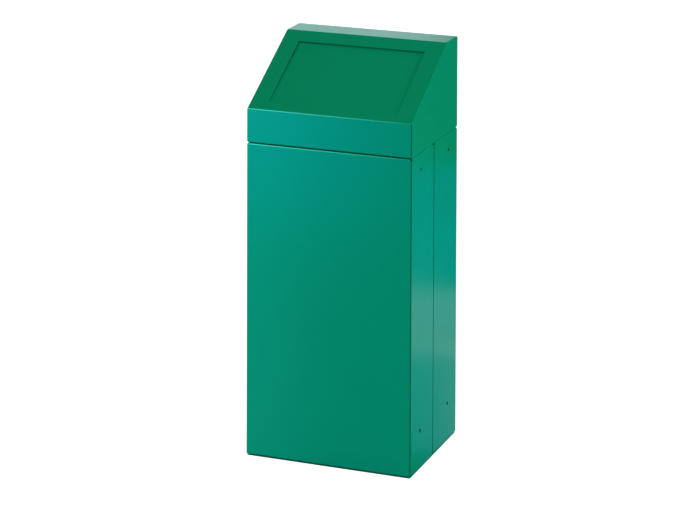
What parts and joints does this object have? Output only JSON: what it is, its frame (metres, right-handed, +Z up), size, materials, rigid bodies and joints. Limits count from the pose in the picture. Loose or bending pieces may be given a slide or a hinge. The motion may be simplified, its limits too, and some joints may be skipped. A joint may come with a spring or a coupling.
{
  "type": "litter bin",
  "caption": "Rectangular sheet-steel litter bin with a lift-off sloping hood, sprung push flap and lift-out galvanised liner.",
  "frame": {"origin": "middle of the rectangular footprint, at floor level under the foot pads", "axes": "+Z up; the front face with the sloping hood faces -Y; +X is to the right when the bin is seen from the front"},
  "size_m": [0.315, 0.25, 0.74],
  "materials": {
    "green_powder_coat": "semi-gloss green powder coat with fine orange peel",
    "galvanised_steel": "hot-dip galvanised, spangled",
    "zinc_plated_steel": "bright zinc plate",
    "spring_steel": "drawn spring wire",
    "rivet_aluminium": "plain blind rivet",
    "black_rubber": "matt black rubber",
    "white_nylon": "natural nylon"
  },
  "bodies": {
    "body": {"front_shell": "green_powder_coat", "rear_shell": "green_powder_coat", "seam_rivets": "rivet_aluminium", "base_tray": "galvanised_steel", "base_rivets": "rivet_aluminium", "foot_pads": "black_rubber", "rim_buffers": "black_rubber"},
    "hood": {"hood_wrap": "green_powder_coat", "hood_cheek_left": "green_powder_coat", "hood_cheek_right": "green_powder_coat", "hood_locators": "green_powder_coat", "hinge_bracket_left": "green_powder_coat", "hinge_bracket_right": "green_powder_coat", "hinge_rod": "zinc_plated_steel", "rod_clips": "zinc_plated_steel", "flap_spring_left": "spring_steel", "flap_spring_right": "spring_steel", "flap_stop_strip": "black_rubber"},
    "flap": {"flap_panel": "green_powder_coat", "flap_bushes": "white_nylon"},
    "liner": {"liner_wall": "galvanised_steel", "liner_floor": "galvanised_steel", "handle_saddles": "galvanised_steel", "saddle_rivets": "rivet_aluminium"},
    "handle_left": {"liner_handle_left": "zinc_plated_steel"},
    "handle_right": {"liner_handle_right": "zinc_plated_steel"}
  },
  "joints": [
    {"name": "hood_lift", "type": "slide", "parent": "body", "child": "hood", "axis": [0, 0, 1], "range_m": [0, 0.64]},
    {"name": "flap_hinge", "type": "hinge", "parent": "hood", "child": "flap", "pos_m": [0, 0.04383, 0.7143], "axis": [1, 0, 0], "range_deg": [0, 60], "stiffness_Nm_per_rad": 0.49, "springref_deg": -46.98, "deforming": ["flap_spring_left", "flap_spring_right"]},
    {"name": "liner_lift", "type": "slide", "parent": "body", "child": "liner", "axis": [0, 0, 1], "range_m": [0, 0.576]},
    {"name": "handle_left_swing", "type": "hinge", "parent": "liner", "child": "handle_left", "pos_m": [-0.133, 0, 0.526], "axis": [0, -1, 0], "range_deg": [0, 180]},
    {"name": "handle_right_swing", "type": "hinge", "parent": "liner", "child": "handle_right", "pos_m": [0.133, 0, 0.526], "axis": [0, 1, 0], "range_deg": [0, 180]}
  ],
  "couplings": [
    {"joint": "liner_lift", "follows": "hood_lift", "ratio": 0.9}
  ]
}
